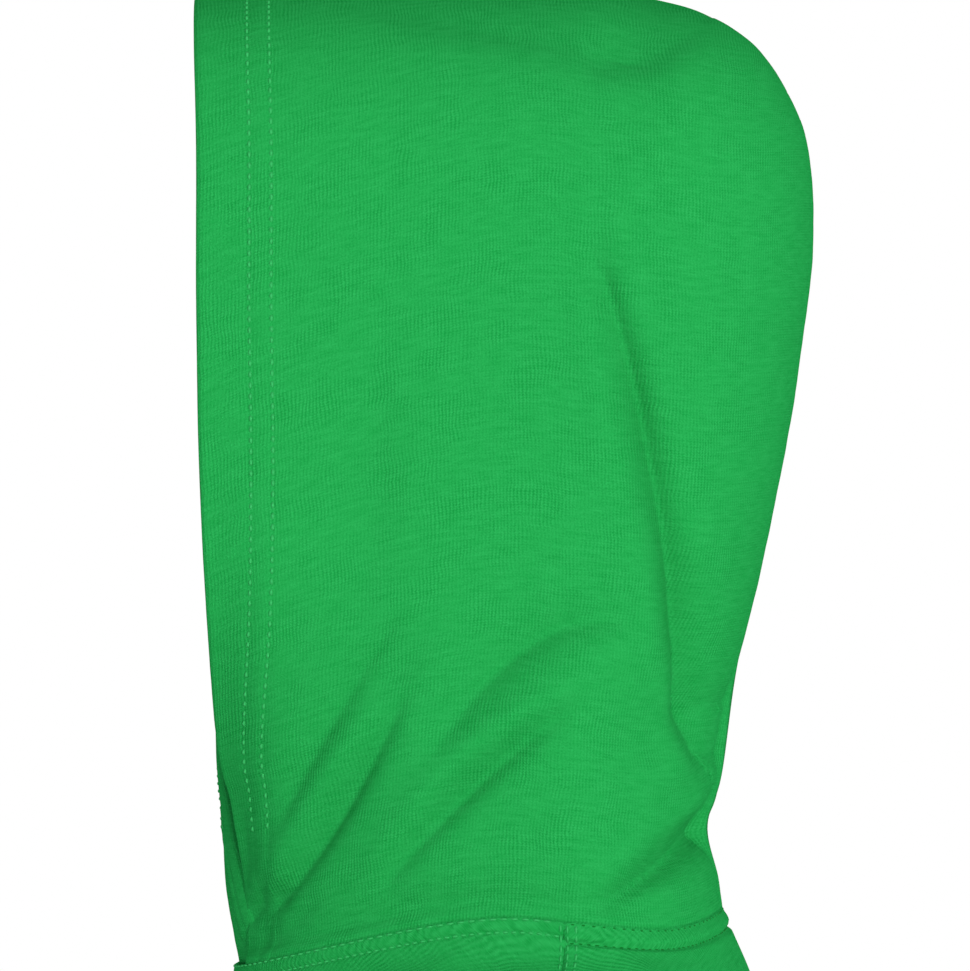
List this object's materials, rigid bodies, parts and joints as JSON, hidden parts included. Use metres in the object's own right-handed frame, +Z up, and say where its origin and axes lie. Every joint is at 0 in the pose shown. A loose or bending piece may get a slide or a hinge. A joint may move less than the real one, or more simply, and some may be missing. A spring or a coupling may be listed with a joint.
{
  "type": "pullover hoodie",
  "caption": "Adult pullover hoodie in kelly green fleece, worn form with the hood up, ribbed cuffs and hem band.",
  "frame": {"origin": "middle of the neck at the height of the neck seam", "axes": "+X to the wearer's left, +Y to the back, +Z up"},
  "size_m": [0.7904, 0.2647, 1.05],
  "materials": {
    "fleece": "matte",
    "rib_knit": "matte"
  },
  "bodies": {
    "root": {"hood_left": "fleece", "hood_right": "fleece", "front": "fleece", "back": "fleece", "sleeve_left": "fleece", "sleeve_right": "fleece", "cuff_left": "rib_knit", "cuff_right": "rib_knit", "hem_band": "rib_knit"}
  },
  "joints": []
}
